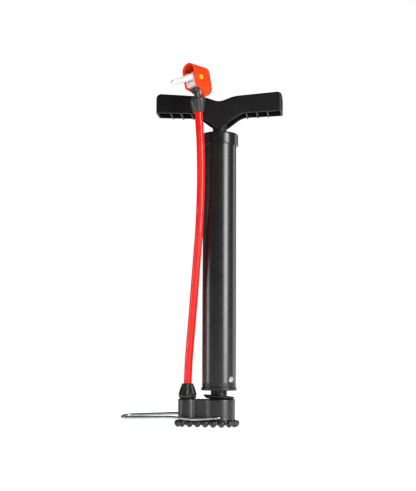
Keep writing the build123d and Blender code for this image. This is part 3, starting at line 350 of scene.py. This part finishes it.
FINISHES = {
    "barrel_paint": barrel_paint(),
    "cap_gloss": gloss_moulding(),
    "base_black": satin_plastic(
        "base_black",
        (0.008, 0.008, 0.008),
        (0.014, 0.014, 0.013),
        0.24,
        0.34,
        strength=0.16,
        gloss=0.5,
    ),
    "handle_black": satin_plastic(
        "handle_black", (0.0030, 0.0028, 0.0028), (0.0052, 0.0048, 0.0048), 0.42, 0.54, gloss=0.2
    ),
    "plug_black": satin_plastic(
        "plug_black", (0.006, 0.0056, 0.0056), (0.011, 0.0105, 0.010), 0.34, 0.46, strength=0.14
    ),
    "grip_grey": satin_plastic(
        "grip_grey", (0.014, 0.015, 0.014), (0.025, 0.026, 0.024), 0.30, 0.44, strength=0.16
    ),
    "hose_red": hose_vinyl(),
    "head_orange": head_plastic(),
    "lever_white": milky_plastic("lever_white", (0.47, 0.41, 0.395), (0.56, 0.50, 0.48)),
    "nylon": milky_plastic("nylon", (0.74, 0.72, 0.67), (0.86, 0.84, 0.80)),
    "pin_yellow": pin_plastic(),
    "zinc": plated_metal(
        "zinc", (0.26, 0.28, 0.29), (0.44, 0.46, 0.48), 0.24, 0.38, drawn=(0.05, 1, 1)
    ),
    "steel": plated_metal("steel", (0.30, 0.30, 0.31), (0.52, 0.52, 0.53), 0.30, 0.48),
    "rod_steel": plated_metal(
        "rod_steel", (0.62, 0.62, 0.63), (0.82, 0.82, 0.83), 0.12, 0.22, drawn=(1, 1, 0.03)
    ),
    "rivet_alu": plated_metal("rivet_alu", (0.72, 0.72, 0.73), (0.90, 0.90, 0.90), 0.16, 0.30),
    "brass": plated_metal(
        "brass", (0.52, 0.34, 0.12), (0.76, 0.56, 0.24), 0.22, 0.38, drawn=(1, 1, 0.2)
    ),
    "rubber_black": rubber("rubber_black", (0.010, 0.010, 0.010), (0.022, 0.022, 0.021)),
    "felt": felt(),
}

# The record's joints and material slots; every CAD piece gets the finish of its slot.
JOINTS = {joint["name"]: joint for joint in frame["record"]["behaviour"]["joints"]}
SLOT_OF = {part["node"]: part["material_slot"] for part in frame["record"]["subparts"]}
for node_name, node_object in frame["nodes"].items():
    node_finish = FINISHES[SLOT_OF[node_name]]
    if not node_object.material_slots:
        node_object.data.materials.append(node_finish)
    for material_slot in node_object.material_slots:
        material_slot.material = node_finish


# ---------------------------------------------------------------- mesh helpers
def add_object(name, data):
    made = bpy.data.objects.new(name, data)
    bpy.context.scene.collection.objects.link(made)
    return made


def dress(piece, slot_name, body):
    """Gives a piece the finish of its slot, and the body that it rides on."""
    piece.data.materials.clear()
    piece.data.materials.append(FINISHES[slot_name])
    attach(piece, body)


def loft_mesh(name, rings):
    """A closed, smooth-shaded mesh through rings of equally many points, capped at both ends."""
    form = bmesh.new()
    loops = [[form.verts.new(point) for point in ring] for ring in rings]
    count = len(rings[0])
    for low, high in zip(loops, loops[1:]):
        for here in range(count):
            there = (here + 1) % count
            form.faces.new((low[here], low[there], high[there], high[here]))
    form.faces.new(list(reversed(loops[0])))
    form.faces.new(loops[-1])
    bmesh.ops.recalc_face_normals(form, faces=form.faces)
    for face in form.faces:
        face.smooth = True
    mesh = bpy.data.meshes.new(name)
    form.to_mesh(mesh)
    form.free()
    return mesh


def apply_modifiers(piece):
    """Replaces a piece's mesh by what its modifiers make of it."""
    graph = bpy.context.evaluated_depsgraph_get()
    made = bpy.data.meshes.new_from_object(piece.evaluated_get(graph))
    piece.modifiers.clear()
    piece.data = made
    for polygon in made.polygons:
        polygon.use_smooth = True


def melt(piece, voxel_mm, rounds):
    """Fuses a piece's shells into one skin and rounds its edges, as a mould leaves them."""
    remesh = piece.modifiers.new("skin", "REMESH")
    remesh.mode = "VOXEL"
    remesh.voxel_size = voxel_mm * MM
    remesh.use_smooth_shade = True
    soften = piece.modifiers.new("soften", "CORRECTIVE_SMOOTH")
    soften.iterations = rounds
    soften.smooth_type = "SIMPLE"
    soften.use_only_smooth = True
    soften.factor = 0.5
    apply_modifiers(piece)


def moulded_copy(name, node, voxel_mm, rounds, body):
    """A CAD node's shape with its edges rounded, as a mould leaves them, in place of the node."""
    piece = add_object(name, frame["nodes"][node].data.copy())
    melt(piece, voxel_mm, rounds)
    dress(piece, SLOT_OF[node], body)
    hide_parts(node)


# ---------------------------------------------------------------- hose
# The hose's route, from its nut on the base to the sleeve under the head.
HOSE_ROUTE_MM = [
    (-35.4, 0.0, 38.2),
    (-34.8, -0.6, 66.0),
    (-32.0, -3.6, 98.0),
    (-28.2, -8.6, 138.0),
    (-24.6, -14.2, 180.0),
    (-20.6, -19.8, 224.0),
    (-18.6, -24.8, 266.0),
    (-18.3, -29.6, 302.0),
    (-19.2, -34.0, 333.7),
    (-21.3, -37.5, 360.6),
]
HOSE_DIAMETER = 9.0 * MM


def make_hose():
    """The red hose, one smooth tube along its route."""
    curve = bpy.data.curves.new("hose", "CURVE")
    curve.dimensions = "3D"
    spline = curve.splines.new("NURBS")
    spline.points.add(len(HOSE_ROUTE_MM) - 1)
    for point, place in zip(spline.points, HOSE_ROUTE_MM):
        point.co = (*(Vector(place) * MM), 1.0)
    spline.order_u = 3
    spline.use_endpoint_u = True
    curve.resolution_u = 12
    curve.bevel_depth = HOSE_DIAMETER / 2
    curve.bevel_resolution = 8
    curve.use_fill_caps = True
    hose = add_object("hose", curve)
    dress(hose, "hose_red", "pump")
    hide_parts("air_hose")
    return hose


# ---------------------------------------------------------------- pieces on the hose
RING_STEPS = 144  # points round each ring


def fluted_rings(origin, axis, across, profile, count, groove):
    """Rings round an axis, through a profile of (height, radius) stations in mm.

    The groove function says how deep, in mm, each point is cut: it is called with the turn counted
    in grooves (count of them all round), the share of the height from 0 to 1, and the radius.
    """
    side = axis.cross(across)
    low, high = profile[0][0], max(height for height, _ in profile)
    rings = []
    for height, radius in profile:
        share = (height - low) / (high - low)
        ring = []
        for step in range(RING_STEPS):
            turn = 2 * math.pi * step / RING_STEPS
            cut = radius - groove(turn * count / (2 * math.pi), share, radius)
            place = across * math.cos(turn) * cut + side * math.sin(turn) * cut + axis * height
            ring.append(origin + place * MM)
        rings.append(ring)
    return rings


def smooth_profile(points, steps):
    """More stations between the given ones, on a Catmull-Rom curve."""
    made = []
    for number in range(len(points) - 1):
        before = Vector(points[max(number - 1, 0)])
        here, there = Vector(points[number]), Vector(points[number + 1])
        after = Vector(points[min(number + 2, len(points) - 1)])
        for step in range(steps):
            t = step / steps
            spot = 0.5 * (
                2 * here
                + (there - before) * t
                + (2 * before - 5 * here + 4 * there - after) * t * t
                + (3 * here - before - 3 * there + after) * t * t * t
            )
            made.append((spot.x, spot.y))
    made.append(tuple(points[-1]))
    return made


LEAVES = 7
LEAF_TWIST = 0.35  # how far the leaves lean from bottom to top, in leaves
LEAF_STEP = 0.95  # mm: the depth of the step between two leaves
LEAF_STEP_WIDTH = 0.10  # in leaves
LEAF_SLANT = 0.35  # mm: how much lower a leaf lies at its covered edge
LEAF_SPINE = 0.22  # mm: the height of the spine
LEAF_SPINE_WIDTH = 0.09  # in leaves
LEAF_BORE = 4.5  # mm: nothing is cut inside this radius
NUT_FLUTES = 12
NUT_BAND = 0.28  # share of the nut's height that its lower band takes
NUT_BAND_DEPTH = 0.45  # mm
NUT_FLUTE_DEPTH = 1.25  # mm
NUT_FLUTE_ROUND = 0.7  # less makes the flutes wider and their ribs narrower
NUT_BORE = 6.0  # mm: nothing is cut inside this radius


def leaf_groove(turns, share, radius):
    """Leaves that overlap round the sleeve: a sharp step at one edge, a low spine along each."""
    if radius <= LEAF_BORE:
        return 0.0
    along = (turns + LEAF_TWIST * share) % 1.0
    edge = math.exp(-((min(along, 1 - along) / LEAF_STEP_WIDTH) ** 2))
    spine = math.exp(-(((along - 0.5) / LEAF_SPINE_WIDTH) ** 2))
    slant = LEAF_SLANT * (1 - along)
    # shallower near both ends
    fade = min(1.0, 5 * share + 0.25) * min(1.0, 8 * (1.02 - share))
    return max(0.0, fade * (LEAF_STEP * edge + slant - LEAF_SPINE * spine))


def nut_groove(turns, share, radius):
    """Round flutes between narrow ribs, deepest half-way up and shallow in the lower band."""
    if radius <= NUT_BORE:
        return 0.0
    along = abs((turns % 1.0) - 0.5) * 2
    flute = math.cos(math.pi * along / 2) ** NUT_FLUTE_ROUND if along < 1 else 0.0
    if share < NUT_BAND:
        depth = NUT_BAND_DEPTH
    else:
        depth = NUT_FLUTE_DEPTH * min(1.0, (share - NUT_BAND) / 0.12 + 0.36)
    # the flutes run out near the top
    fade = min(1.0, max(0.0, (0.98 - share) / 0.22))
    return depth * flute * fade


def no_groove(turns, share, radius):
    """A plain round form."""
    return 0.0


def make_sleeve():
    """The dark grey collar of overlapping leaves between the hose and the head's stem."""
    end = Vector(HOSE_ROUTE_MM[-1])
    way = (end - Vector(HOSE_ROUTE_MM[-2])).normalized()
    across = Vector((1, 0, 0)) - way * way.x
    outline = [(-10.0, 5.6), (-9.4, 6.2), (-6.5, 6.9), (-2.0, 7.8), (2.5, 8.35), (5.2, 8.3)]
    outline += [(6.3, 7.6)]
    profile = [(-9.9, 4.0)] + smooth_profile(outline, 6) + [(6.2, 5.0), (5.9, 3.2)]
    rings = fluted_rings(end * MM, way, across.normalized(), profile, LEAVES, leaf_groove)
    sleeve = add_object("leaf_sleeve", loft_mesh("leaf_sleeve", rings))
    dress(sleeve, "grip_grey", "pump")
    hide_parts("hose_sleeve")


def make_nut():
    """The fluted nut that holds the hose on the base."""
    foot = Vector(HOSE_ROUTE_MM[0])
    low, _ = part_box("hose_nut")
    outline = [(0, 8.9), (0.5, 9.3), (1.6, 9.9), (4.8, 10.15), (7.0, 9.7), (11.5, 8.3), (15.2, 6.9)]
    outline += [(16.3, 6.4), (16.8, 5.7)]
    profile = [(-0.3, 6.0), (-0.3, 8.4)] + smooth_profile(outline, 5) + [(16.4, 4.0)]
    origin = Vector((foot.x * MM, foot.y * MM, low[2]))
    up, right = Vector((0, 0, 1)), Vector((1, 0, 0))
    rings = fluted_rings(origin, up, right, profile, NUT_FLUTES, nut_groove)
    nut = add_object("swivel_nut", loft_mesh("swivel_nut", rings))
    dress(nut, SLOT_OF["hose_nut"], "pump")
    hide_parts("hose_nut")


DISH_TILT = 4.5  # degrees, down towards the right
DISH_SINK = 1.45 * MM  # how far the cup's own zero height lies under its middle


def make_washer():
    """The shallow cup that leans on the base's top, round the neck of the plug."""
    low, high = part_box("dish_washer")
    lean = math.radians(DISH_TILT)
    way = Vector((math.sin(lean), 0, math.cos(lean)))
    across = Vector((math.cos(lean), 0, -math.sin(lean)))
    origin = Vector((0, 0, (low[2] + high[2]) / 2 - DISH_SINK))
    outline = [(-1.2, 13.6), (-0.9, 14.6), (0.4, 16.2), (1.3, 17.3), (1.9, 17.6), (2.5, 17.3)]
    outline += [(2.55, 16.6), (2.2, 13.0), (2.5, 10.4), (2.9, 9.6)]
    profile = [(-1.2, 9.3)] + smooth_profile(outline, 4) + [(2.8, 9.2)]
    rings = fluted_rings(origin, way, across, profile, 1, no_groove)
    washer = add_object("cup_washer", loft_mesh("cup_washer", rings))
    dress(washer, SLOT_OF["dish_washer"], "pump")
    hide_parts("dish_washer")


def make_spring():
    """The check valve's spring (which the ball squeezes as it lifts), copied unchanged from its CAD
    node onto a mesh of its own.
    """
    spring = add_object("valve_spring", frame["nodes"]["check_spring"].data.copy())
    dress(spring, SLOT_OF["check_spring"], "pump")
    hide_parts("check_spring")
    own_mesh(spring)


make_sleeve()
make_nut()
make_washer()
make_spring()


# ---------------------------------------------------------------- valve head
# The head's own directions: u towards its closed nose, v up, w along the pin to its near end.
HEAD_PIN = Vector(JOINTS["lever_hinge"]["pos_m"])
HEAD_W = -Vector(JOINTS["lever_hinge"]["axis"])
HEAD_U = Vector(JOINTS["clamp_slide"]["axis"])
HEAD_V = HEAD_W.cross(HEAD_U)


def head_point(u, v, w):
    """A point at (u, v, w) mm from the middle of the pin."""
    return HEAD_PIN + (HEAD_U * u + HEAD_V * v + HEAD_W * w) * MM


def block_mesh(name, outline, w_from, w_to):
    """A prism on a (u, v) outline between two widths."""
    rings = [[head_point(u, v, w) for u, v in outline] for w in (w_from, w_to)]
    return loft_mesh(name, rings)


def join_meshes(name, meshes):
    """One mesh that holds all the given ones, which are used up."""
    form = bmesh.new()
    for mesh in meshes:
        form.from_mesh(mesh)
        bpy.data.meshes.remove(mesh)
    joined = bpy.data.meshes.new(name)
    form.to_mesh(joined)
    form.free()
    return joined


# Stations along the lever in (u, v) mm: its upper point, its lower point, and half its width.
LEVER_STATIONS = [
    ((0.6, 8.6), (1.0, 1.0), 4.6),
    ((-0.8, 9.8), (-1.0, -1.2), 4.9),
    ((-4.0, 8.0), (-5.5, -2.0), 5.1),
    ((-8.5, 5.0), (-10.5, -3.4), 5.1),
    ((-15.0, 1.9), (-15.8, -5.8), 4.9),
    ((-22.5, -1.5), (-21.6, -8.2), 4.6),
    ((-30.0, -5.4), (-28.8, -10.9), 4.2),
    ((-36.6, -7.9), (-35.6, -13.3), 3.9),
    ((-40.6, -9.2), (-39.8, -14.2), 3.4),
    ((-42.2, -10.6), (-41.8, -13.6), 2.3),
    ((-42.6, -11.8), (-42.5, -12.6), 0.8),
]
LEVER_SIDES = 28  # points round each station
LEVER_BULGE = 0.62  # 1 makes the section an ellipse, less makes it squarer
CAM_CENTRE = (-0.6, 1.64)
CAM_RADIUS = 5.0
CAM_HALF_WIDTH = 4.9


def make_lever():
    """The milky lever: a broad root round the pin, and an arm with a blunt, rounded tip."""
    rings = []
    for upper, lower, half in LEVER_STATIONS:
        middle = (Vector(upper) + Vector(lower)) / 2
        rise = (Vector(upper) - Vector(lower)) / 2
        ring = []
        for step in range(LEVER_SIDES):
            turn = 2 * math.pi * step / LEVER_SIDES
            up = math.copysign(abs(math.sin(turn)) ** LEVER_BULGE, math.sin(turn))
            out = math.copysign(abs(math.cos(turn)) ** LEVER_BULGE, math.cos(turn))
            spot = middle + rise * up
            ring.append(head_point(spot.x, spot.y, half * out))
        rings.append(ring)
    arm = loft_mesh("lever_arm", rings)
    round_cam = [
        (
            CAM_CENTRE[0] + CAM_RADIUS * math.cos(math.radians(degrees)),
            CAM_CENTRE[1] + CAM_RADIUS * math.sin(math.radians(degrees)),
        )
        for degrees in range(0, 360, 10)
    ]
    cam = block_mesh("lever_cam", round_cam, -CAM_HALF_WIDTH, CAM_HALF_WIDTH)
    lever = add_object("lock_lever_moulding", join_meshes("lock_lever_moulding", [arm, cam]))
    melt(lever, voxel_mm=0.4, rounds=6)
    dress(lever, "lever_white", "lever")
    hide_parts("lock_lever")


CORE_HALF_WIDTH = 6.0
CHEEK_FROM, CHEEK_TO = 5.45, 6.65  # mm to either side of the middle


def make_core():
    """The milky body in the head: a block under the lever, between two cheeks."""
    block = [(-9.6, -5.4), (-6.0, -4.6), (-3.0, -4.3), (5.8, -4.6), (5.8, -10.6), (-9.6, -9.8)]
    cheek = [(-9.4, -9.4), (-9.0, 2.0), (-7.4, 7.6), (-3.6, 9.0), (1.6, 6.0), (1.6, -9.4)]
    meshes = [block_mesh("core", block, -CORE_HALF_WIDTH, CORE_HALF_WIDTH)]
    for w_from, w_to in ((CHEEK_FROM, CHEEK_TO), (-CHEEK_TO, -CHEEK_FROM)):
        meshes.append(block_mesh("core", cheek, w_from, w_to))
    core = add_object("valve_core", join_meshes("valve_core", meshes))
    melt(core, voxel_mm=0.4, rounds=3)
    dress(core, "lever_white", "pump")
    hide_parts("head_body")


moulded_copy("head_shell", "head_housing", voxel_mm=0.4, rounds=4, body="pump")
make_lever()
make_core()


# ---------------------------------------------------------------- base and handle
moulded_copy("base_casting", "base_body", voxel_mm=0.5, rounds=5, body="pump")

HANDLE_FRONT = -14.5  # mm: the y of the handle's front face
RIDGE_HEIGHT = 0.22  # mm
RIDGE_TAPER = 0.4  # mm at each end
RIDGE_TIP = 0.3  # the ends' size against the middle's
RIDGE_ARC = [(-1, -1), (-0.8, 0.5), (0, 1), (0.8, 0.5), (1, -1)]


def ridge(name, start, end, width):
    """A low half-round ridge on the handle's front, between two (x, z) points in mm."""
    start = Vector((start[0], HANDLE_FRONT, start[1])) * MM
    end = Vector((end[0], HANDLE_FRONT, end[1])) * MM
    front = Vector((0, -1, 0))
    way = (end - start).normalized()
    side = way.cross(front) * width * MM / 2
    out = front * RIDGE_HEIGHT * MM
    taper = way * RIDGE_TAPER * MM
    stations = ((start, RIDGE_TIP), (start + taper, 1.0), (end - taper, 1.0), (end, RIDGE_TIP))
    rings = [
        [place + (side * across + out * height) * size for across, height in RIDGE_ARC]
        for place, size in stations
    ]
    piece = add_object(name, loft_mesh(name, rings))
    dress(piece, "handle_black", "handle")


ridge("gate_mark", (-2.4, 342.6), (-2.2, 346.4), width=0.7)
for mark, sign in (("mould_line_right", 1), ("mould_line_left", -1)):
    ridge(mark, (15.2 * sign, 353.6), (19.4 * sign, 358.2), width=0.5)


# ---------------------------------------------------------------- cord
hose = make_hose()


# ---------------------------------------------------------------- light and floor
WORLD_STRENGTH = 0.13  # the light that comes from all round
FLOOR_RADIUS = 6.0  # metres
FLOOR_GLOW = 0.88  # brings the paper floor up to white


def softbox(name, azimuth, distance, low, high, width, power):
    """An upright soft light that faces the barrel's axis.

    The azimuth is in degrees from the front (-Y) towards the right (+X); the lengths are in metres.
    """
    data = bpy.data.lights.new(name, "AREA")
    data.shape = "RECTANGLE"
    data.size = width
    data.size_y = high - low
    data.energy = power
    light = add_object(name, data)
    angle = math.radians(azimuth)
    place = Vector((math.sin(angle) * distance, -math.cos(angle) * distance, (low + high) / 2))
    aim = Vector((0, 0, place.z)) - place
    turn = aim.to_track_quat("-Z", "Y").to_matrix().to_4x4()
    light.matrix_world = Matrix.Translation(place) @ turn


def make_world():
    """A dim white world, which the camera itself sees as plain white."""
    world = bpy.data.worlds.new("studio")
    bpy.context.scene.world = world
    world.use_nodes = True
    nodes, links = world.node_tree.nodes, world.node_tree.links
    background = nodes["Background"]
    background.inputs["Color"].default_value = (1.0, 1.0, 1.0, 1.0)
    background.inputs["Strength"].default_value = WORLD_STRENGTH
    bright = nodes.new("ShaderNodeBackground")
    bright.inputs["Color"].default_value = (1.0, 1.0, 1.0, 1.0)
    path = nodes.new("ShaderNodeLightPath")
    choose = nodes.new("ShaderNodeMixShader")
    links.new(path.outputs["Is Camera Ray"], choose.inputs[0])
    links.new(background.outputs[0], choose.inputs[1])
    links.new(bright.outputs[0], choose.inputs[2])
    links.new(choose.outputs[0], nodes["World Output"].inputs[0])


def make_floor():
    """A round sheet of white paper, faintly mottled."""
    mesh = bpy.data.meshes.new("floor")
    form = bmesh.new()
    bmesh.ops.create_circle(form, cap_ends=True, segments=96, radius=FLOOR_RADIUS)
    form.to_mesh(mesh)
    form.free()
    floor = add_object("floor", mesh)
    finish = Finish("floor_paper")
    finish.colour(finish.tones(finish.noise(60, 3), (0.93, 0.93, 0.93), (0.95, 0.95, 0.95)))
    finish.bump((finish.noise(1.5, 3), 0.03, 0.05))
    finish.constant(
        Roughness=0.9, Emission_Color=(1.0, 1.0, 1.0, 1.0), Emission_Strength=FLOOR_GLOW
    )
    mesh.materials.append(finish.material)


bpy.context.scene.view_settings.view_transform = "Standard"
make_world()
make_floor()
# The key and the fill keep their places beside the camera; the other two are behind and above.
key, fill = CAMERA_AZIMUTH + 45.5, CAMERA_AZIMUTH - 82
softbox("key", key, distance=1.5, low=-0.1, high=1.3, width=0.62, power=36)
softbox("fill", fill, distance=1.5, low=-0.45, high=0.30, width=0.42, power=8)
softbox("edge", 128, distance=1.8, low=0.0, high=0.9, width=0.7, power=4)
softbox("top", 20, distance=1.4, low=1.3, high=1.9, width=1.0, power=3)
